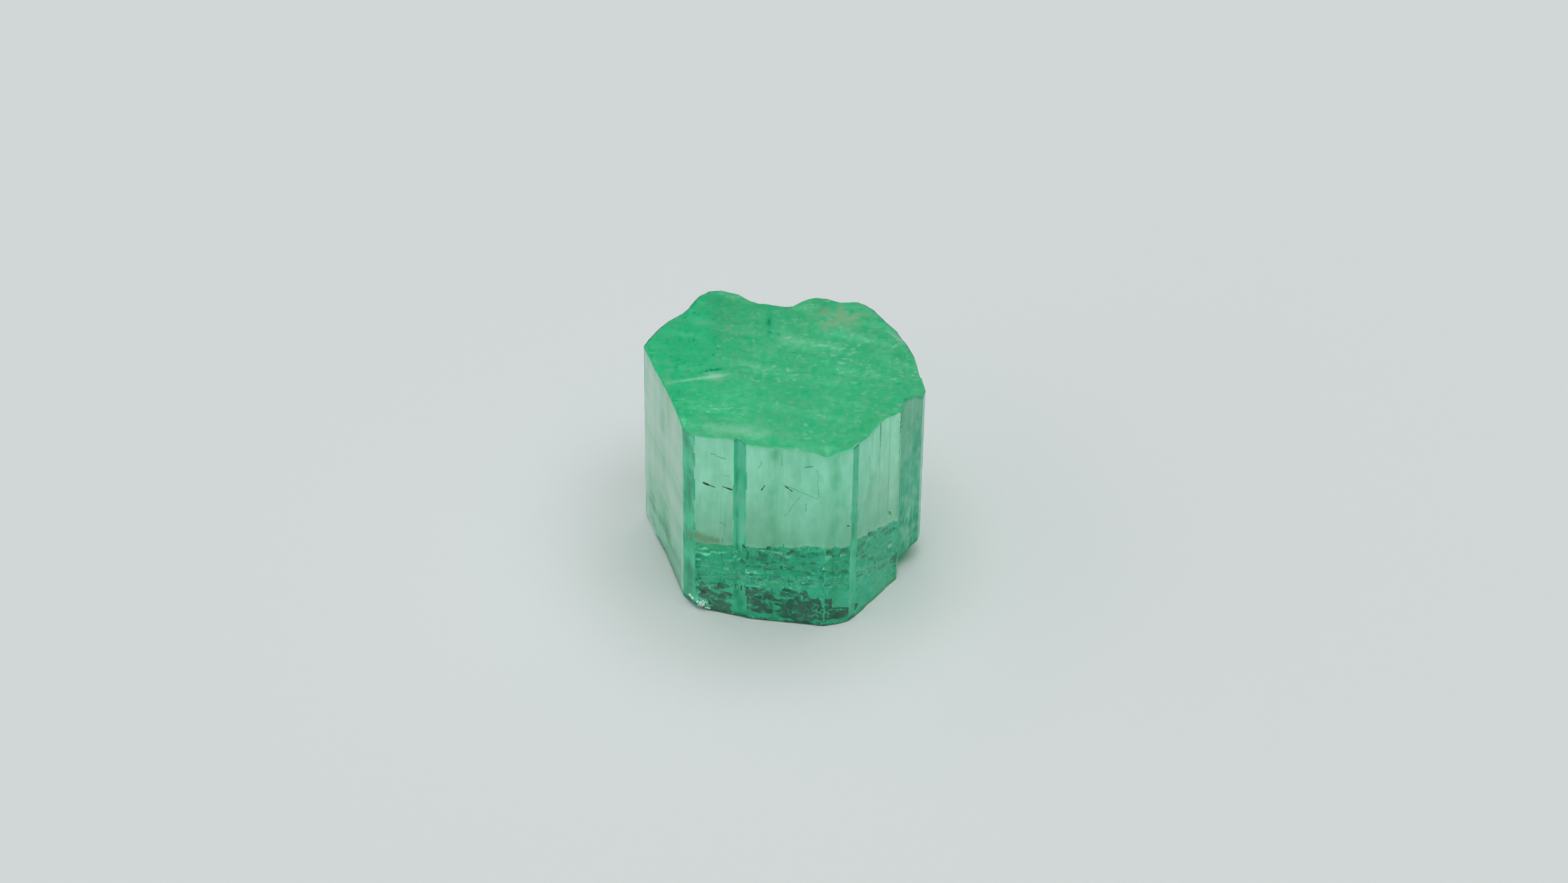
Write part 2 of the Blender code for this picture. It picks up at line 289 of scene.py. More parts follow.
def upper_break(x, y):
    """Height of the upper break: a sloping plane, long ripples, ledges, and a rim that is raised
    or worn in places."""
    plane = TOP_HEIGHT - TOP_RISE_TO_FRONT * y - TOP_DIP_TO_RIGHT * x
    bend = 0.35 * np.sin(0.9 * x + 0.5) + 0.2 * np.sin(2.3 * x)
    ripple = TOP_RIPPLE * (np.sin(2.6 * (y + bend)) + 0.6 * np.sin(5.7 * y + 1.7 * x + 0.8))
    left_ledge = mound(x, y, (-3.4, -0.1), (1.2, 0.8)) * smoothstep(-0.12, 0.05, y - 0.30 - 0.25 * x)
    back_ledge = smoothstep(-0.1, 0.15, x + 0.45 + 0.12 * y) * smoothstep(1.2, 2.4, y)
    right_wear = smoothstep(4.4, 5.9, x + 0.06 * y)
    ledges = TOP_LEDGE * (0.5 * left_ledge + 0.35 * back_ledge - 1.7 * right_wear)
    return plane + ripple + ledges + marks(x, y, RAISED_AND_SUNK)


def foot_lane(x, y):
    """How far back a place on the foot is, in millimetres, measured across its treads."""
    return y + 0.02 * x


def lower_break(x, y):
    """Height of the foot: treads that climb to the back in its rear half, a rough crest across its
    middle, a crushed corner at the front left and the oblique break under the second column. Below
    zero nothing is taken away."""
    lane = foot_lane(x, y)
    step = (lane - 0.2 + 0.26 * np.sin(1.1 * x) + 0.10 * np.sin(2.9 * x + 1.0)) / TREAD
    part = step - np.floor(step)
    treads = TREAD_RISE * np.maximum(part - TREAD_FLAT, 0.0) / (1.0 - TREAD_FLAT) * smoothstep(0.0, 0.3, lane)
    uneven = 0.55 + 0.45 * np.sin(2.1 * x + 0.6) * np.sin(0.9 * x + 2.0)
    crest = CREST * uneven * bell(lane, CREST_PLACE, CREST_WIDTH) - 0.01
    crushed = 0.34 * mound(x, y, (-3.9, -4.3), (0.8, 0.55), -35.0) - 0.12
    outward = (x - 4.86) + 0.07 * (y + 1.7)
    under_column = SECOND_COLUMN_LIFT * smoothstep(-0.15, 0.15, outward) + SECOND_COLUMN_SLOPE * outward
    inner = np.maximum(np.maximum(treads, crest), crushed)
    return np.maximum(inner, under_column - 0.03)


def grain(x, y, cell, seed, stretch=1.0, heading=0.0):
    """Smooth noise from -1 to 1: random values on a lattice of this cell, blended between its nodes
    as 3 t^2 - 2 t^3. The cells are stretch times longer along the heading, in degrees."""
    along, across = turned(x, y, heading)
    u, v = along / (cell * stretch) + FIRST_CELL, across / cell + FIRST_CELL
    table = np.random.default_rng(seed).uniform(-1.0, 1.0, (LATTICE, LATTICE))
    iu, iv = np.floor(u).astype(int), np.floor(v).astype(int)
    fu, fv = u - iu, v - iv
    fu, fv = fu * fu * (3.0 - 2.0 * fu), fv * fv * (3.0 - 2.0 * fv)
    iu, iv, ju, jv = iu % LATTICE, iv % LATTICE, (iu + 1) % LATTICE, (iv + 1) % LATTICE
    low = table[iu, iv] * (1 - fu) + table[ju, iv] * fu
    high = table[iu, jv] * (1 - fu) + table[ju, jv] * fu
    return low * (1 - fv) + high * fv


def brick_cells(x, y, size, seed):
    """The row and column of the brick at each place, and how far along and across it the place is,
    from 0 to 1. The rows run along the prism and are offset at random, and the joints wander."""
    offset = np.random.default_rng(seed).uniform(0.0, 1.0, LATTICE)
    along, across = turned(x, y, PRISM_TURN)
    along = along + 0.25 * size[0] * grain(x, y, size[0], seed + 1)
    across = across + 0.35 * size[1] * grain(x, y, size[0], seed + 2)
    v = across / size[1] + FIRST_CELL
    row = np.floor(v).astype(int) % LATTICE
    u = along / size[0] + offset[row] + FIRST_CELL
    return row, np.floor(u).astype(int) % LATTICE, u - np.floor(u), v - np.floor(v)


def bricks(x, y, size, seed, lift, tilt):
    """A mosaic of small flat facets laid like bricks along the prism. Each brick has a random height
    up to lift and random slopes along and across, whose spread is tilt, both in millimetres per
    millimetre, and the last of tilt is a slope across that they all have."""
    row, column, along, across = brick_cells(x, y, size, seed)
    rng = np.random.default_rng(seed + 3)
    level = rng.uniform(0.0, 1.0, (LATTICE, LATTICE))[row, column]
    slope_along, slope_across = rng.normal(0.0, 1.0, (2, LATTICE, LATTICE))[:, row, column]
    rise_along = tilt[0] * slope_along * (along - 0.5) * size[0]
    rise_across = (tilt[2] + tilt[1] * slope_across) * (across - 0.5) * size[1]
    return lift * level + rise_along + rise_across


def foot_relief(x, y):
    """Small facets of the foot: low bricks in its rear half, a crest of rougher ones across its middle,
    broad flat ones with a little wear at the front, and chips along the back edge."""
    lane = foot_lane(x, y) + 0.25 * grain(x, y, 1.1, 41)
    rear = smoothstep(-0.1, 0.4, lane)
    crest = bell(lane, CREST_PLACE, CREST_WIDTH)
    front = smoothstep(-1.0, -1.6, lane)
    low = bricks(x, y, (0.70, 0.50), 42, 0.02, (0.02, 0.04, 0.0))
    rough = bricks(x, y, (0.36, 0.44), 45, 0.05, (0.12, 0.16, -0.10))
    rough = rough + 0.012 * grain(x, y, 0.12, 46, 2.4, 90.0)
    broad = bricks(x, y, (0.80, 0.90), 47, 0.008, (0.01, 0.02, 0.0))
    broad = broad + 0.006 * grain(x, y, 0.2, 49, 2.4, 90.0) - 0.004
    worn = 0.030 * np.maximum(grain(x, y, 0.26, 48, 2.4, 90.0) - 0.50, 0.0)
    chips = 0.22 * np.maximum(grain(x, y, 0.26, 50, 1.3) - 0.05, 0.0) * smoothstep(2.7, 3.3, y)
    return rear * low + crest * rough + front * (broad + worn) + chips


def thread(x, y, cell, seed, stretch, width):
    """Wandering thin lines, 1 on the line and 0 away from it: where a smooth noise crosses zero."""
    return np.clip(1.0 - np.abs(grain(x, y, cell, seed, stretch, PRISM_TURN)) / width, 0.0, 1.0)


def foot_front_tone(x, y, u, v, block, cracks, curls):
    """Shade of the foot's front: a painted dark reflection in broad patches and a painted shade along the
    front edge, where it meets the table, with pale curls and fine loops over them."""
    dark = np.minimum(marks(u, v, PAINTED_DARK_PATCHES), 1.0)
    edge = dark + 0.16 * grain(x, 0.4 * y, 0.22, 90) + 0.18 * (block - 0.5)
    painted_contact_shade = bell(y + 0.12 * x, -5.02, 0.24) * (x > -2.6)
    loops = thread(u, 0.40 * v, 0.13, 89, 1.2, 0.26)
    shade = 0.50 - 0.56 * smoothstep(0.30, 0.52, edge) - 0.36 * painted_contact_shade
    return shade + 0.12 * (block - 0.5) - 0.16 * cracks + 0.56 * curls + 0.24 * loops


def foot_tone(x, y):
    """Shade of the foot from 0, dark, to 1, pale. Its rear half and middle are mid green blocks with
    dark thin cracks, pale curls and their marks, and some blocks of the rear are dark. Over all there
    are painted highlights as pale flecks at the right of the middle, pale crumbs at the crushed corner
    that are partly painted glints, and a painted highlight as a pale lip along the back edge at the left."""
    lane = foot_lane(x, y)
    u = x + 0.16 * grain(x, y, 0.30, 81)
    v = y + 0.20 * grain(x, y, 0.34, 82)
    rear = smoothstep(-0.1, 0.3, lane)
    front = smoothstep(-1.0, -1.3, lane + 0.2 * grain(x, y, 0.9, 83))
    middle = (1.0 - rear) * (1.0 - front)
    row, column, _, _ = brick_cells(u, v, (0.50, 0.55), 84)
    block = np.random.default_rng(85).uniform(0.0, 1.0, (LATTICE, LATTICE))[row, column]
    cracks = thread(u, 0.45 * v, 0.30, 86, 1.5, 0.17)
    curls = thread(u, 0.40 * v, 0.17, 87, 1.3, 0.34) * smoothstep(-0.4, 0.2, grain(x, y, 0.8, 88))
    blocks = 0.52 + 0.36 * (block - 0.5) - 0.36 * cracks
    rear_tone = blocks - 0.28 * (block > 0.86) + 0.60 * curls + marks(u, v, REAR_MARKS)
    middle_tone = blocks + 0.70 * curls + marks(u, v, MIDDLE_MARKS)
    front_tone = foot_front_tone(x, y, u, v, block, cracks, curls)
    shade = rear * rear_tone + middle * middle_tone + front * front_tone
    painted_highlight_flecks = 0.20 * mound(u, v, (1.9, -1.5), (0.9, 0.5)) * (grain(x, y, 0.16, 92, 2.4, 90.0) > 0.0)
    crumbs_and_glints = 0.8 * mound(x, y, (-3.45, -3.9), (0.55, 0.5), -35.0)
    crumbs_and_glints = crumbs_and_glints * (grain(x, y, 0.10, 91, 2.4, 90.0) > 0.15)
    painted_highlight_lip = 1.2 * mound(x, lane, (-2.4, 3.10), (1.2, 0.22)) * (0.8 + 0.5 * grain(x, y, 0.3, 93))
    return shade + painted_highlight_flecks + crumbs_and_glints + painted_highlight_lip


def upper_tone(x, y):
    """Shade of the upper break from 0, dark, to 1, pale: mottled, a little darker at the left, with
    painted glints as pale dashes in its busier parts, dark specks, its marks and painted light, and a
    painted shade as a dark mark along the step at the back."""
    mottle = 0.05 * grain(x, y, 0.45, 71, 1.4, -4.0) + 0.07 * grain(x, y, 0.15, 72, 1.5, 80.0)
    busy = 0.22 * grain(x, y, 1.2, 74) + 0.25 * mound(x, y, (1.2, 2.3), (2.0, 1.2))
    painted_glints = smoothstep(0.62, 0.95, grain(x, y, 0.085, 73, 2.0, 12.0) + busy)
    specks = smoothstep(0.72, 0.95, grain(x, y, 0.10, 75, 1.4))
    painted_step_shade = mound(x, y, (-0.62, 3.0), (0.13, 0.8)) * (1.0 + 0.4 * grain(x, y, 0.2, 76))
    shade = 0.36 + 0.11 * smoothstep(-4.2, -1.2, x) + mottle + 0.38 * painted_glints - 0.16 * specks
    return shade + marks(x, y, UPPER_MARKS_AND_PAINTED_LIGHT) - 0.26 * painted_step_shade


def iron_stain(x, y, z):
    """How much iron has stained each place, from 0 to 1: a ragged patch at the back right of the upper
    break, one low on the back wall, and one on the bevel at the left of the front."""
    ragged = 0.5 * grain(x, y, 0.34, 61) + 0.35 * grain(x, y, 0.14, 62)
    on_top = 0.8 * smoothstep(0.20, 1.0, mound(x, y, (2.45, 3.45), (0.95, 1.0)) + 0.80 * ragged)
    low = mound(x, z, (-2.3, 0.40), (0.9, 0.24), -12.0) + 0.25 * grain(x, z, 0.25, 64)
    low = low * (y > 2.0) * (z > 0.12) + 0.6 * mound(x, z, (-3.9, 4.0), (0.3, 0.22)) * (y < FRONT_Y)
    on_wall = 0.9 * smoothstep(0.25, 0.8, low)
    return np.where(z > 8.0, on_top, on_wall)


def etched_shade(x, z):
    """How much darker the etched faces are below the level at which the foot shows behind them."""
    shade = 0.18 * bell(x, -3.88, 0.26) + 0.36 * bell(x, -1.76, 0.28) + 0.06 * bell(x, 2.98, 0.16)
    shade = shade + 0.10 * grain(x, z, 0.30, 58, 2.0, 82.0) * (x < -3.6)
    return shade * smoothstep(4.4, 3.7, z + 0.5 * grain(x, z, 0.3, 55))


def step_shade(x, z):
    """How much paler the step in the front is, less the dark lines down its edges, and how much darker
    the left bevel is."""
    lines = (bell(x, -1.84, 0.08) + bell(x, -1.50, 0.07)) * (0.8 + 0.5 * grain(x, z, 0.6, 54))
    paler = 0.16 * bell(x, -1.74, 0.36) - 0.10 * bell(x, -3.88, 0.30)
    return paler - (0.06 + 0.24 * smoothstep(3.4, 4.4, z)) * lines


def column_shade(x, z):
    """How much paler the second column is: more so towards the top, with fine mottling, one oblique
    pale line, and a net of pale threads over its broken foot."""
    shade = 0.04 + 0.16 * smoothstep(5.0, 8.0, z) + 0.10 * grain(x, z, 0.13, 56, 2.5, 82.0)
    shade = shade + 0.35 * bell(z + x, 8.90, 0.06)
    shade = shade + (0.46 * thread(x, 0.6 * z, 0.13, 57, 1.2, 0.4) - 0.18) * smoothstep(3.3, 2.8, z)
    return shade * smoothstep(4.85, 4.95, x)


def wall_tone(x, y, z):
    """Shade of the prism faces from 0, dark, to 1, clear. All have soft clouds. Those in front also
    have dark upright bands, a left face that darkens towards the foot, two dark bands across the left
    bevel, the shades of the step, the column and the etched faces, pale crumbs that are partly painted
    glints, and a dark speck."""
    across = x + 0.3 * y
    clouds = 0.10 * grain(across, z, 0.37, 51, 2.4, 81.0) + 0.10 * grain(across, z, 0.17, 52, 1.8, 98.0)
    bands = 0.46 * bell(x, -0.33, 0.20) + 0.42 * bell(x, 2.20, 0.26) + 0.22 * bell(x, -4.95, 0.16)
    bands = bands + 0.36 * (x < -4.2) * smoothstep(4.0, 1.6, z)
    bevel = (0.20 * bell(z, 6.6, 1.2) + 0.22 * bell(z, 9.1, 0.25)) * bell(x, -3.88, 0.22)
    dark = bands * (0.8 + 0.6 * grain(x, z, 0.5, 53)) + bevel + etched_shade(x, z)
    crumbled_and_glints = 0.5 * mound(x, z, (-3.45, 0.0), (0.5, 0.6)) + 0.3 * mound(x, z, (-4.62, 1.50), (0.07, 0.14))
    speck = 0.6 * mound(x, z, (-5.57, 1.88), (0.05, 0.16), -60.0)
    front = step_shade(x, z) + column_shade(x, z) + crumbled_and_glints - dark - speck
    return 0.70 + clouds + np.where(y < 1.0, front, 0.0)


def upper_relief(x, y):
    """Fine relief of the upper break: two sizes of ripple, drawn out along X, fine grain and chips."""
    ripple = 0.008 * grain(x, y, 0.50, 21, 2.2, -4.0) + 0.008 * grain(x, y, 0.22, 22, 1.8, 3.0)
    chips = 0.020 * np.maximum(grain(x, y, 0.26, 24, 1.5, 8.0) - 0.62, 0.0)
    return ripple + 0.004 * grain(x, y, 0.12, 23, 1.6) + chips


def upper_z(x, y):
    """Height of the upper break with its fine relief, kept under the solid's highest point."""
    return np.minimum(upper_break(x, y) + upper_relief(x, y), CAD_HIGH[2] / MM)


def foot_z(x, y):
    """Height of the foot with its small facets; nothing is lower than the table."""
    return np.maximum(lower_break(x, y) + foot_relief(x, y), 0.0)


def corner_shares():
    """The share of the way round the outline at which each corner stands, with 1 for the last."""
    closed = np.vstack([OUTLINE, OUTLINE[:1]])
    reach = np.concatenate([[0.0], np.cumsum(np.hypot(*np.diff(closed, axis=0).T))])
    return reach / reach[-1]


def outline_samples(count):
    """count points round the outline, evenly spaced, with the nearest one moved onto each corner.
    Returns the share of the way round of each, and its points at the rim and at the foot."""
    share = corner_shares()
    even = np.arange(count) / count
    slot = np.round(share[:-1] * count).astype(int)
    keep = np.concatenate([[True], np.diff(slot) > 0])
    knots = np.append(slot[keep] / count, 1.0)
    places = np.append(share[:-1][keep], 1.0)
    moved = np.interp(even, knots, places)
    rings = []
    for corners in (OUTLINE, FOOT_OUTLINE):
        closed = np.vstack([corners, corners[:1]])
        rings.append(np.stack([np.interp(moved, share, line) for line in closed.T], axis=1))
    return moved, *rings


def share_of_corner(corner):
    """The share of the way round the outline at which this corner stands."""
    return corner_shares()[np.argmin(np.abs(OUTLINE - corner).sum(axis=1))]


def outward_normals(rim):
    """Unit normals of the closed rim, pointing out, from the neighbours of each point."""
    along = np.roll(rim, -1, axis=0) - np.roll(rim, 1, axis=0)
    return unit(np.stack([along[:, 1], -along[:, 0]], axis=1))


def growth_ridges(share, seed, count, depth):
    """Growth ridges: depths from -depth to 0 at count random places round the outline, joined by
    straight lines, so each ridge is a pair of narrow flat faces."""
    rng = np.random.default_rng(seed)
    places = np.sort(rng.uniform(0.0, 1.0, count))
    depths = depth * rng.uniform(-1.0, 0.0, count)
    return np.interp(share, places, depths, period=1.0)


def striated(share):
    """How strongly each part of the outline is striated: the right-hand faces most, and the left face
    hardly at all."""
    right = smoothstep(0.35, 0.37, share) * smoothstep(0.46, 0.44, share)
    return 0.6 + 1.6 * right - 0.4 * smoothstep(0.14, 0.12, share)


def wall_waver(share, up):
    """How far the wall strays from straight on its way up: long, very shallow waves."""
    lanes = share[None, :] * 60.0
    wave = 0.0020 * grain(lanes, up * 9.7, 1.3, 31, 1.0) + 0.0010 * grain(lanes, up * 9.7, 0.6, 32, 0.6)
    return (wave - 0.003) * np.sin(np.pi * up) ** 0.25


def between(place, low_corner, high_corner):
    """Whether each place round the outline, as a share, is from one corner up to another."""
    return (place >= share_of_corner(low_corner)) & (place < share_of_corner(high_corner))


def wall_finish(share, rim):
    """The finish of each quad of the wall, in rows from the foot up: clear growth faces, the narrow
    faces with their ragged edges and the gap in the front step, and etched beryl along the worn
    edges and at the crushed corner."""
    rows, lanes = np.meshgrid(np.arange(RISE), LANES_ROUND * share, indexing="ij")
    finish = np.full(rows.shape, GROWTH_FACE, np.int32)
    ragged = share + RAGGED_SHARE * grain(rows, lanes, 2.6, 59)
    for kind, low_corner, high_corner in NARROW_FACES:
        finish[between(ragged, low_corner, high_corner)] = kind
    level = rows + 1.5 * grain(lanes, rows, 1.6, 61)
    gap = (level > STEP_GAP_ROWS[0]) & (level < STEP_GAP_ROWS[1])
    finish[between(ragged, FRONT_STEP[0], FRONT_STEP[3]) & gap] = GROWTH_FACE
    crushed = (rim[:, 0] > CRUSHED_FROM) & (rim[:, 0] < CRUSHED_TO) & (rim[:, 1] < FRONT_Y)
    finish[crushed & (rows < CRUSHED_ROWS) & (grain(rows, lanes, 1.0, 94) > 0.0)] = ETCHED
    worn = np.any([np.abs(share - share_of_corner(corner)) < EDGE_SHARE for corner in WORN_EDGES], axis=0)
    finish[worn & (rows < WORN_ROWS) & (grain(rows, 0.1 * lanes, 2.2, 58) > -0.25)] = ETCHED
    return finish.ravel()


def foot_finish(x, y, on_edge):
    """The finish of each quad of the foot: nearly opaque in front, where its colour is a painted dark
    reflection, as the upper break under the second column, and etched along the worn edge."""
    finish = np.full(len(x), FOOT, np.int32)
    finish[foot_lane(x, y) + 0.3 * grain(x, y, 0.5, 83) < PAINTED_DARK_LANE] = PAINTED_DARK_FRONT
    finish[x > UNDER_COLUMN_FROM] = UPPER
    finish[on_edge] = ETCHED
    return finish


def crystal_surface(cells, ridge_depth):
    """Vertices in millimetres, quads and their finishes, tones and stains of the closed crystal.

    The wall is a ring carried up in rows at z = foot + t (top - foot), where its point is
    base(s) + z / height (rim(s) - base(s)), with the ridges and the waver along the normal. Each
    break is a square grid folded onto the outline."""
    around = 4 * cells
    share, rim, base = outline_samples(around)
    normal = outward_normals(rim)
    depth = growth_ridges(share, 11, BROAD_RIDGES, ridge_depth)
    depth = depth + growth_ridges(share, 12, FINE_RIDGES, FINE_SHARE * ridge_depth)
    ridge = normal * (depth * striated(share))[:, None]
    rim, base = rim + ridge, base + ridge
    up = np.linspace(0.0, 1.0, RISE + 1)[:, None]
    top = upper_z(rim[:, 0], rim[:, 1]) - EDGE_WEAR
    foot = foot_z(base[:, 0], base[:, 1]) + EDGE_WEAR
    wall_z = foot[None, :] + up * (top - foot)[None, :]
    lean = (wall_z / RIM_HEIGHT)[..., None]
    wall_xy = base[None] + lean * (rim - base)[None] + normal[None] * wall_waver(share, up)[..., None]
    wall = np.concatenate([wall_xy, wall_z[..., None]], axis=2).reshape(-1, 3)
    wall_shade = wall_tone(*wall.T)
    # The rim has a painted shade at the back, where it slopes away. The foot's edge has a painted shade in
    # front, where it meets the table, and a painted highlight behind.
    wall_shade[-around:] = upper_tone(rim[:, 0], rim[:, 1]) - 0.80 * smoothstep(0.1, 0.5, normal[:, 1])
    wall_shade[:around] = np.where(base[:, 1] < 0.0, 0.0, 1.0)
    upper, upper_quads = folded_square(wall_xy[RISE], cells, upper_z, len(wall), RISE * around)
    lower, lower_quads = folded_square(wall_xy[0], cells, foot_z, len(wall) + len(upper), 0)
    points = np.vstack([wall, upper, lower])
    quads = np.vstack([grid_quads(RISE + 1, around), upper_quads, lower_quads[:, ::-1]])
    x, y, _ = points[lower_quads.max(axis=1)].T
    on_edge = (lower_quads < around).any(axis=1)
    upper_finish = np.full(len(upper_quads), UPPER, np.int32)
    finish = np.concatenate([wall_finish(share, rim), upper_finish, foot_finish(x, y, on_edge)])
    tone = np.concatenate([wall_shade, upper_tone(*upper.T[:2]), foot_tone(*lower.T[:2])])
    return points, quads, finish, tone, iron_stain(*points.T)


def grid_quads(rows, columns):
    """Quads of a grid whose columns close on themselves, counterclockwise seen from outside."""
    row = np.arange(rows - 1)[:, None] * columns
    column = np.arange(columns)[None, :]
    after = (column + 1) % columns
    quads = np.stack([row + column, row + after, row + columns + after, row + columns + column], axis=-1)
    return quads.reshape(-1, 4)


def folded_square(rim, cells, height, start, rim_first):
    """Points inside the rim and the quads of a square grid, cells by cells, folded onto it.

    The grid's outermost ring is the rim itself, whose vertices start at rim_first. A grid point at
    the share r of the way out, at the place s round its ring, goes to centre + r (rim(s) - centre)."""
    i, j = np.meshgrid(np.arange(cells + 1), np.arange(cells + 1), indexing="ij")
    a, b = 2 * i - cells, 2 * j - cells
    reach = np.maximum(np.abs(a), np.abs(b)).astype(float)
    r = reach / cells
    reach[reach == 0] = 1.0
    side = np.select(
        [(b == -reach) & (a < reach), (a == reach) & (b < reach), (b == reach) & (a > -reach)],
        [(a + reach) / (2 * reach), 1 + (b + reach) / (2 * reach), 2 + (reach - a) / (2 * reach)],
        3 + (reach - b) / (2 * reach),
    )
    place = side / 4.0 * len(rim)
    low = np.floor(place).astype(int) % len(rim)
    part = (place - np.floor(place))[..., None]
    centre = rim.mean(axis=0)
    edge = rim[low] * (1 - part) + rim[(low + 1) % len(rim)] * part
    flat = centre + r[..., None] * (edge - centre)
    z = height(flat[..., 0], flat[..., 1])
    number = np.full((cells + 1, cells + 1), -1)
    inside = r < 1.0
    number[inside] = start + np.arange(inside.sum())
    number[~inside] = rim_first + np.round(place[~inside]).astype(int) % len(rim)
    quads = np.stack([number[:-1, :-1], number[1:, :-1], number[1:, 1:], number[:-1, 1:]], axis=-1)
    inner = np.stack([flat[..., 0], flat[..., 1], z], axis=-1)[inside]
    return inner, quads.reshape(-1, 4)


def on_front(x, z):
    """The places on the faces at the front, as they stand at the rim, that have this x and z."""
    face = np.array(LEFT_FACE + LEFT_BEVEL + FRONT_STEP + FRONT_FACE + FRONT_BEVEL + RIGHT_FACE)
    return np.stack([x, np.interp(x, face[:, 0], face[:, 1]), z], axis=1)


def ball():
    """Vertices, quads and triangles of a ball: cos(v) cos(u), cos(v) sin(u), sin(v), with u round it
    in BALL_PARTS and v at BALL_LEVELS, and a vertex at each pole."""
    part = np.arange(BALL_PARTS)
    after = (part + 1) % BALL_PARTS
    u = part * 2.0 * math.pi / BALL_PARTS
    v = np.radians(BALL_LEVELS)[:, None]
    rings = np.stack([np.cos(v) * np.cos(u), np.cos(v) * np.sin(u), np.sin(v) + 0.0 * u], axis=-1)
    points = np.vstack([rings.reshape(-1, 3), [[0.0, 0.0, -1.0], [0.0, 0.0, 1.0]]])
    pole = rings[..., 0].size
    last = pole - BALL_PARTS
    low_cap = np.stack([pole + 0 * part, after, part], axis=1)
    high_cap = np.stack([pole + 1 + 0 * part, last + part, last + after], axis=1)
    return points, grid_quads(len(BALL_LEVELS), BALL_PARTS), np.vstack([low_cap, high_cap])


def flake_surface(lines, depth, thickness, seed):
    """Vertices in millimetres, quads and triangles of thin flakes strung along lines near the front.

    Each flake is a ball drawn out to an ellipsoid: centre + a X along + b Y across + c Z in, where X, Y
    and Z are those of the ball. Its half sizes are a along the line, b across it and c into the
    crystal. Flakes in longer strings vary in size, and stray a little across their line."""
    lines = np.array(lines)
    count = lines[:, 5].astype(int)
    number = np.concatenate([np.arange(n) for n in count])[:, None]
    line = np.repeat(lines, count, axis=0)
    rng = np.random.default_rng(seed)
    low, high = on_front(line[:, 0], line[:, 1]), on_front(line[:, 2], line[:, 3])
    along = unit(high - low)
    slope = (on_front(line[:, 0] + FACE_STEP, line[:, 1]) - low)[:, 1] / FACE_STEP
    inward = np.stack([-slope, np.ones(len(line)), np.zeros(len(line))], axis=1)
    inward = unit(inward - (inward * along).sum(axis=1, keepdims=True) * along)
    across = np.cross(inward, along)
    long_string = line[:, 5:] > 2
    size = rng.uniform(0.7, 1.15, (len(line), 1))
    stray = rng.uniform(-1.0, 1.0, (len(line), 1)) * np.where(long_string, 0.03, 0.0)
    part = np.linalg.norm(high - low, axis=1, keepdims=True) / line[:, 5:]
    half_length = 0.5 * part * np.where(long_string, size, 1.05)
    centre = low + (number + 0.5) / line[:, 5:] * (high - low) + depth * inward + stray * across
    half = np.stack([half_length[:, 0], line[:, 4] * size[:, 0], thickness * line[:, 4]], axis=1)
    axes = np.stack([along, across, inward], axis=1)
    shape, shape_quads, shape_triangles = ball()
    points = centre[:, None, :] + np.einsum("pk,nk,nkx->npx", shape, half, axes)
    start = (np.arange(len(line)) * len(shape))[:, None, None]
    quads = (shape_quads[None] + start).reshape(-1, 4)
    triangles = (shape_triangles[None] + start).reshape(-1, 3)
    return points.reshape(-1, 3), quads, triangles


def linear(hex_colour):
    """An sRGB hex colour as a linear colour with alpha 1."""
    channels = np.array([int(hex_colour[k : k + 2], 16) for k in (0, 2, 4)]) / 255.0
    low = channels / 12.92
    high = ((channels + 0.055) / 1.055) ** 2.4
    return (*np.where(channels <= 0.04045, low, high), 1.0)


def add_node(tree, kind, settings=None, links=None):
    """Adds a node. settings names its properties or its sockets, and links maps its sockets to others."""
    node = tree.nodes.new(kind)
    for name, value in (settings or {}).items():
        if isinstance(name, int) or name in node.inputs:
            node.inputs[name].default_value = value
        else:
            setattr(node, name, value)
    for name, source in (links or {}).items():
        tree.links.new(source, node.inputs[name])
    return node


def colour_stops(ramp, stops):
    """Sets the stops of a Color Ramp node from pairs of position and linear colour."""
    elements = ramp.color_ramp.elements
    while len(elements) < len(stops):
        elements.new(0.5)
    for element, (position, colour) in zip(elements, stops):
        element.position = position
        element.color = colour


def principled(name, settings):
    """A new material whose Principled shader has these settings."""
    material = bpy.data.materials.new(name)
    material.use_nodes = True
    shader = material.node_tree.nodes["Principled BSDF"]
    for socket, value in settings.items():
        shader.inputs[socket].default_value = value
    return material


def colour_by_tone(tree, shader, place, stops, grain_scale, grain_share, stain):
    """Links the shader's base colour to the surface's tone, with fine noise added to it, through a
    ramp of these stops, and then towards the colour of iron where the surface is stained."""
    tone = add_node(tree, "ShaderNodeAttribute", {"attribute_name": "tone"})
    stretch = add_node(tree, "ShaderNodeMapping", {"Scale": grain_scale}, {"Vector": place})
    texture = {"Scale": 1.0, "Detail": 4.0, "Roughness": 0.6}
    noise = add_node(tree, "ShaderNodeTexNoise", texture, {"Vector": stretch.outputs["Vector"]})
    centred = {"operation": "MULTIPLY_ADD", 1: grain_share, 2: -0.5 * grain_share}
    spread = add_node(tree, "ShaderNodeMath", centred, {0: noise.outputs["Fac"]})
    both = {0: tone.outputs["Fac"], 1: spread.outputs["Value"]}
    shade = add_node(tree, "ShaderNodeMath", {"operation": "ADD"}, both)
    ramp = add_node(tree, "ShaderNodeValToRGB", links={"Fac": shade.outputs["Value"]})
    colour_stops(ramp, [(position, linear(colour)) for position, colour in stops])
    iron = add_node(tree, "ShaderNodeAttribute", {"attribute_name": "stain"})
    clean = {0: iron.outputs["Fac"], 6: ramp.outputs["Color"]}
    stained = add_node(tree, "ShaderNodeMix", {"data_type": "RGBA", 7: linear(stain)}, clean)
    tree.links.new(stained.outputs[2], shader.inputs["Base Color"])


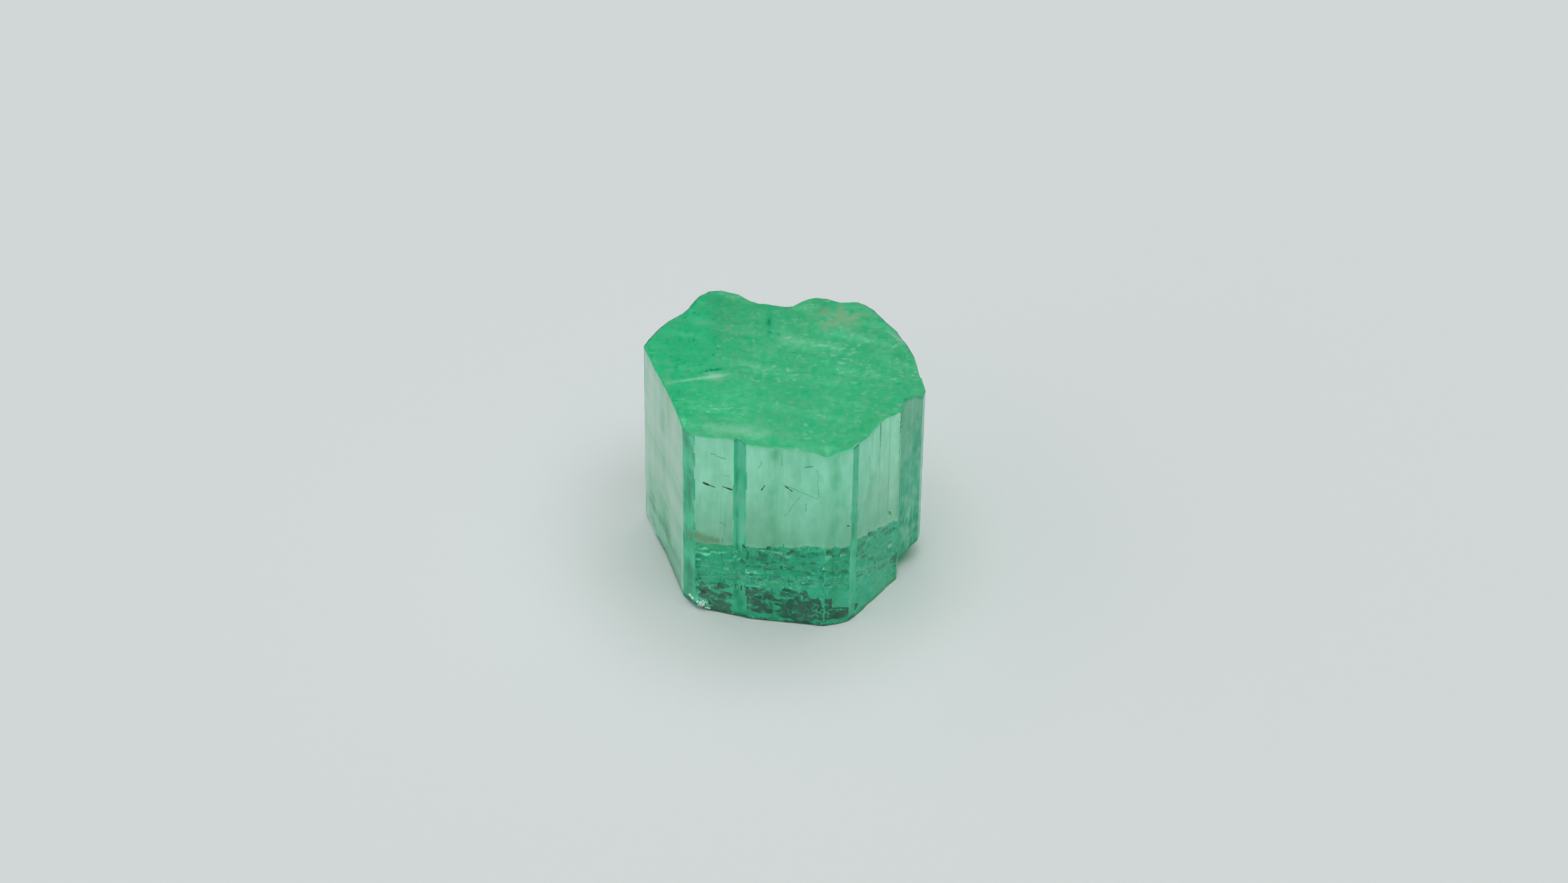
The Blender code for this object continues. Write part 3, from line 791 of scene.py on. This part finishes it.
def beryl(name, roughness, transmission, stops, grain_scale, grain_share, stain=IRON):
    """A new material of clear beryl, coloured on its surface by tone. grain_scale is how many cells of
    the fine noise are in a metre each way, so 2400 makes them 0.42 mm wide.

    Beryl bends light by 1.577. The body takes out red over about a centimetre and blue over about a
    decimetre, so thin parts are a pale sea green and deep parts a strong green."""
    look = {"Roughness": roughness, "IOR": BERYL_IOR, "Transmission Weight": transmission}
    material = principled(name, look)
    tree = material.node_tree
    place = add_node(tree, "ShaderNodeTexCoord").outputs["Object"]
    body = add_node(tree, "ShaderNodeVolumeAbsorption", {"Color": BODY_COLOUR, "Density": BODY_DENSITY})
    tree.links.new(body.outputs["Volume"], tree.nodes["Material Output"].inputs["Volume"])
    shader = tree.nodes["Principled BSDF"]
    colour_by_tone(tree, shader, place, stops, grain_scale, grain_share, stain)
    return material


def fine_pits(material, texture, strength, depth):
    """Links the normal of the material's shader to fine pits: noise as a bump of this strength, and of
    this depth in metres."""
    tree = material.node_tree
    place = tree.nodes["Texture Coordinate"].outputs["Object"]
    pits = add_node(tree, "ShaderNodeTexNoise", texture, {"Vector": place})
    relief = {"Strength": strength, "Distance": depth}
    bump = add_node(tree, "ShaderNodeBump", relief, {"Height": pits.outputs["Fac"]})
    tree.links.new(bump.outputs["Normal"], tree.nodes["Principled BSDF"].inputs["Normal"])


def growth_face_beryl():
    """Beryl as it grew: bright flat faces with faint upright streaks and shallow pits."""
    stops = [(0.15, "7FC898"), (0.55, "D4E8C8"), (0.90, "FFFAE4")]
    material = beryl("beryl_growth_face", 0.03, 1.0, stops, (2400.0, 2400.0, 600.0), 0.75)
    fine_pits(material, {"Scale": 2600.0, "Detail": 3.0, "Roughness": 0.6}, 0.25, 0.02 * MM)
    return material


def etched_bevel_beryl():
    """Beryl etched by the solution that it grew from: satin narrow faces that blur what is behind."""
    stops = [(0.10, "128A60"), (0.40, "2ACA9A"), (0.70, "62F8C4"), (0.95, "9CFCDC")]
    return beryl("beryl_etched_bevel", 0.30, 0.35, stops, (2500.0, 2500.0, 700.0), 0.9)


def satin_face_beryl():
    """Beryl with a lightly etched growth face: a pale satin bloom over the clear crystal."""
    stops = [(0.10, "5CB48C"), (0.40, "A6E8C6"), (0.75, "D8FAE6"), (0.95, "EEFFF6")]
    return beryl("beryl_satin_face", 0.25, 0.35, stops, (1800.0, 1800.0, 300.0), 0.7)


def striated_column_beryl():
    """The second column's faces, so finely striated that they are half dull."""
    stops = [(0.35, "46C8A2"), (0.75, "88EECC"), (0.95, "B4FADA")]
    return beryl("beryl_striated_column", 0.20, 0.35, stops, (3600.0, 3600.0, 1100.0), 0.9)


def upper_break_beryl():
    """Beryl broken across: a waxy, rippled surface that is a little milky."""
    dark_stops = [(0.0, "06382A"), (0.05, "128A5E"), (0.14, "1CB47C"), (0.30, "3EECAA")]
    stops = [*dark_stops, (0.46, "70ECB0"), (0.70, "A6FCCA"), (1.00, "E4FFF0")]
    grain_scale = (5200.0, 3400.0, 5200.0)
    material = beryl("beryl_upper_break", 0.35, 0.60, stops, grain_scale, 0.52, IRON_ON_UPPER)
    material.node_tree.nodes["Principled BSDF"].inputs["Specular IOR Level"].default_value = 0.25
    fine_pits(material, {"Scale": 4200.0, "Detail": 4.0, "Roughness": 0.6}, 0.5, 0.03 * MM)
    return material


def lower_break_beryl():
    """Beryl broken along its terraces: small glassy facets over cracks and dark patches in its colour."""
    return beryl("beryl_lower_break", 0.10, 0.14, FOOT_STOPS, (3000.0, 3000.0, 3000.0), 0.2)


def painted_dark_break_beryl():
    """The front of the lower break, nearly opaque, with a painted dark reflection in its colour."""
    return beryl("beryl_painted_dark_break", 0.16, 0.02, FOOT_STOPS, (3000.0, 3000.0, 3000.0), 0.2)


def fluid_inclusion():
    """Thin cavities filled with brine and a dark film: a dark green from outside."""
    return principled("dark_fluid_inclusion", {"Base Color": linear("0F5A48"), "Roughness": 0.5})


def healed_crack():
    """Specks of fluid left where a crack healed: clear, a little darker than the crystal."""
    look = {"Base Color": linear("B4E2CC"), "Roughness": 0.12, "IOR": 1.20, "Transmission Weight": 1.0}
    return principled("healed_crack_specks", look)


def crushed_beryl_and_glints():
    """Beryl crushed to a white powder where a corner was knocked; its white, brighter than the table's, is
    partly a painted glint of the crushed facets.
    """
    return principled("crushed_beryl_and_glints", {"Base Color": linear("F2FFF6"), "Roughness": 0.35})


# The maker of each finish's material, in the order of the finishes.
FINISH_MAKERS = (
    growth_face_beryl,
    upper_break_beryl,
    lower_break_beryl,
    etched_bevel_beryl,
    satin_face_beryl,
    striated_column_beryl,
    painted_dark_break_beryl,
)


class CrystalSettings(bpy.types.PropertyGroup):
    """Sizes of the crystal's surface."""

    ridge_depth: FloatProperty(
        name="Ridge depth",
        description="How deep the growth ridges are cut into the prism faces",
        default=0.020 * MM,
        min=0.0,
        max=0.2 * MM,
        precision=6,
        unit="LENGTH",
    )
    cells: IntProperty(
        name="Cells across",
        description="Cells along each side of the grid that is folded onto a break",
        default=176,
        min=16,
        max=176,
    )


def add_piece(context, name, points, faces, makers):
    """A new object with this surface and these materials. Its points are moved from the outline's own
    millimetres to the frame's metres."""
    points[:, :2] += SHIFT
    mesh = bpy.data.meshes.new(name)
    mesh.from_pydata(points * MM, [], faces)
    mesh.update()
    for maker in makers:
        mesh.materials.append(maker())
    piece = bpy.data.objects.new(name, mesh)
    context.scene.collection.objects.link(piece)
    return piece


class CRYSTAL_OT_build_crystal(bpy.types.Operator):
    """Build the emerald crystal as one closed surface"""

    bl_idname = "crystal.build_crystal"
    bl_label = "Build crystal"

    def execute(self, context):
        settings = context.scene.crystal_settings
        points, quads, finish, tone, stain = crystal_surface(settings.cells, settings.ridge_depth / MM)
        crystal = add_piece(context, "emerald", points, quads, FINISH_MAKERS)
        crystal.data.polygons.foreach_set("material_index", finish)
        for name, values in (("tone", tone), ("stain", stain)):
            attribute = crystal.data.attributes.new(name, "FLOAT", "POINT")
            attribute.data.foreach_set("value", values.astype(np.float32))
        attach(crystal, BODY)
        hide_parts(CRYSTAL_NODE)
        return {"FINISHED"}


class CRYSTAL_OT_build_inclusions(bpy.types.Operator):
    """Build the inclusions and healed cracks behind the front faces, and the crushed corner's crumbs, whose
    white is partly painted glints
    """

    bl_idname = "crystal.build_inclusions"
    bl_label = "Build inclusions"

    def execute(self, context):
        groups = (
            ("fluid_inclusions", FLUID_INCLUSIONS, FLAKE_DEPTH, FLAKE_THICKNESS, 101, fluid_inclusion),
            ("healed_cracks", HEALED_CRACKS, FLAKE_DEPTH, FLAKE_THICKNESS, 102, healed_crack),
            ("crushed_corner", CRUSHED_CORNER, CRUMB_DEPTH, CRUMB_THICKNESS, 103, crushed_beryl_and_glints),
        )
        for name, lines, depth, thickness, seed, maker in groups:
            points, quads, triangles = flake_surface(lines, depth, thickness, seed)
            faces = [*quads.tolist(), *triangles.tolist()]
            flakes = add_piece(context, name, points, faces, [maker])
            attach(flakes, BODY)
        return {"FINISHED"}


class StudioSettings(bpy.types.PropertyGroup):
    """Light and table of the studio."""

    light_strength: FloatProperty(
        name="Light strength",
        description="Strength of the window overhead and of the glow at the left",
        default=1.0,
        min=0.0,
    )
    table_colour: FloatVectorProperty(
        name="Table colour",
        description="Colour of the matt paper under the crystal",
        subtype="COLOR",
        size=4,
        min=0.0,
        max=1.0,
        default=linear("DDE1E1"),
    )


TABLE_HALF = 0.42  # half the width of the table, in metres
TABLE_GAP = 0.02  # how far the table lies under the crystal
ROOM_GREYS = [(0.0, 0.62), (0.14, 0.22), (0.40, 0.10), (1.0, 0.10)]  # from the horizon up
WINDOW_FROM = (0.10, 0.05, 0.99)  # direction of the broad window
WINDOW_POWER = 3.2
WINDOW_GREYS = [(0.83, 0.0), (0.88, 0.45), (0.93, 1.0), (1.0, 1.0)]  # by how nearly it is faced
GLOW_FROM = (-0.90, -0.15, 0.40)  # direction of the glow at the left
GLOW_GREYS = [(0.30, 0.0), (0.80, 0.35), (1.0, 0.55)]
ELEVATION = 43.0  # how far the camera looks down
ROLL = 0.74
FOCAL_PIXELS = 7670.0  # focal length in pixels of the frame
FRAME_WIDTH = 2576
FRAME_HEIGHT = 1450
SENSOR_WIDTH = 36.0
MM_PER_PIXEL = 0.0262  # at ANCHOR_POINT
ANCHOR = (1290.0, 830.0)  # pixel at which ANCHOR_POINT on the table shows
ANCHOR_POINT = (0.126, 2.002)


def build_table(context, colour):
    """A square of matt white paper, just under the crystal's foot."""
    mesh = bpy.data.meshes.new("table")
    h = TABLE_HALF
    z = -TABLE_GAP * MM
    mesh.from_pydata([(-h, -h, z), (h, -h, z), (h, h, z), (-h, h, z)], [], [(0, 1, 2, 3)])
    look = {"Base Color": colour, "Roughness": 0.9, "Specular IOR Level": 0.2}
    mesh.materials.append(principled("matt_white_paper", look))
    table = bpy.data.objects.new("table", mesh)
    context.scene.collection.objects.link(table)


def greys(stops, tint):
    """Pairs of position and grey as pairs of position and colour, with green and blue raised by tint."""
    return [(place, (grey, grey * tint, grey * tint, 1.0)) for place, grey in stops]


def build_world(context, strength):
    """Soft light: a pale horizon that darkens upwards, a broad window overhead and a glow at the left."""
    world = bpy.data.worlds.new("studio")
    context.scene.world = world
    world.use_nodes = True
    tree = world.node_tree
    tree.nodes.clear()
    place = add_node(tree, "ShaderNodeTexCoord").outputs["Generated"]
    split = add_node(tree, "ShaderNodeSeparateXYZ", links={"Vector": place})
    room = add_node(tree, "ShaderNodeValToRGB", links={"Fac": split.outputs["Z"]})
    colour_stops(room, greys(ROOM_GREYS, 1.02))
    light = add_node(tree, "ShaderNodeBackground", {"Strength": 1.0}, {"Color": room.outputs["Color"]})
    window = (WINDOW_FROM, WINDOW_POWER * strength, WINDOW_GREYS)
    glow = (GLOW_FROM, strength, GLOW_GREYS)
    for direction, power, stops in (window, glow):
        towards = {"operation": "DOT_PRODUCT", 1: np.array(direction) / np.linalg.norm(direction)}
        facing = add_node(tree, "ShaderNodeVectorMath", towards, {0: place})
        area = add_node(tree, "ShaderNodeValToRGB", links={"Fac": facing.outputs["Value"]})
        colour_stops(area, greys(stops, 1.01))
        lamp = add_node(tree, "ShaderNodeBackground", {"Strength": power}, {"Color": area.outputs["Color"]})
        links = {0: light.outputs[0], 1: lamp.outputs["Background"]}
        light = add_node(tree, "ShaderNodeAddShader", links=links)
    output = add_node(tree, "ShaderNodeOutputWorld")
    tree.links.new(light.outputs["Shader"], output.inputs["Surface"])


def build_camera(context):
    """The camera looks down at the elevation. ANCHOR_POINT on the table shows at the pixel ANCHOR."""
    tilt, roll = math.radians(ELEVATION), math.radians(ROLL)
    forward = np.array([0.0, math.cos(tilt), -math.sin(tilt)])
    level_right = np.array([1.0, 0.0, 0.0])
    level_up = np.array([0.0, math.sin(tilt), math.cos(tilt)])
    right = math.cos(roll) * level_right + math.sin(roll) * level_up
    up = math.cos(roll) * level_up - math.sin(roll) * level_right
    depth = FOCAL_PIXELS * MM_PER_PIXEL
    across = (ANCHOR[0] - FRAME_WIDTH / 2.0) / FOCAL_PIXELS
    above = -(ANCHOR[1] - FRAME_HEIGHT / 2.0) / FOCAL_PIXELS
    place = np.array([*(ANCHOR_POINT + SHIFT), 0.0]) - (forward + across * right + above * up) * depth
    lens = bpy.data.cameras.new("camera")
    lens.sensor_width = SENSOR_WIDTH
    lens.lens = FOCAL_PIXELS / FRAME_WIDTH * SENSOR_WIDTH
    lens.clip_start = 0.01
    lens.clip_end = 10.0
    camera = bpy.data.objects.new("camera", lens)
    context.scene.collection.objects.link(camera)
    turn = np.eye(4)
    turn[:3] = np.stack([right, up, -forward, place * MM], axis=1)
    camera.matrix_world = Matrix(turn.tolist())
    context.scene.camera = camera


class CRYSTAL_OT_build_stage(bpy.types.Operator):
    """Build the table, the soft light and the camera"""

    bl_idname = "crystal.build_stage"
    bl_label = "Build stage"

    def execute(self, context):
        settings = context.scene.studio_settings
        build_table(context, settings.table_colour)
        build_world(context, settings.light_strength)
        build_camera(context)
        scene = context.scene
        scene.view_settings.view_transform = "Standard"
        scene.view_settings.gamma = 0.85
        scene.cycles.max_bounces = 32
        scene.cycles.transmission_bounces = 32
        scene.cycles.glossy_bounces = 16
        scene.cycles.blur_glossy = 0.0
        return {"FINISHED"}


class CRYSTAL_PT_panel(bpy.types.Panel):
    """The crystal's operators and sizes"""

    bl_idname = "CRYSTAL_PT_panel"
    bl_label = "Emerald crystal"
    bl_space_type = "VIEW_3D"
    bl_region_type = "UI"
    bl_category = "Crystal"

    def draw(self, context):
        layout = self.layout
        for group in (context.scene.crystal_settings, context.scene.studio_settings):
            for name in group.bl_rna.properties.keys():
                if name not in {"name", "rna_type"}:
                    layout.prop(group, name)
        for operator in OPERATORS:
            layout.operator(operator.bl_idname)


OPERATORS = (CRYSTAL_OT_build_crystal, CRYSTAL_OT_build_inclusions, CRYSTAL_OT_build_stage)
CLASSES = (CrystalSettings, StudioSettings, *OPERATORS, CRYSTAL_PT_panel)


def register():
    for cls in CLASSES:
        bpy.utils.register_class(cls)
    bpy.types.Scene.crystal_settings = PointerProperty(type=CrystalSettings)
    bpy.types.Scene.studio_settings = PointerProperty(type=StudioSettings)


def unregister():
    del bpy.types.Scene.studio_settings
    del bpy.types.Scene.crystal_settings
    for cls in reversed(CLASSES):
        bpy.utils.unregister_class(cls)


def main():
    register()
    bpy.ops.crystal.build_stage()
    bpy.ops.crystal.build_crystal()
    bpy.ops.crystal.build_inclusions()


if __name__ == "__main__":
    main()
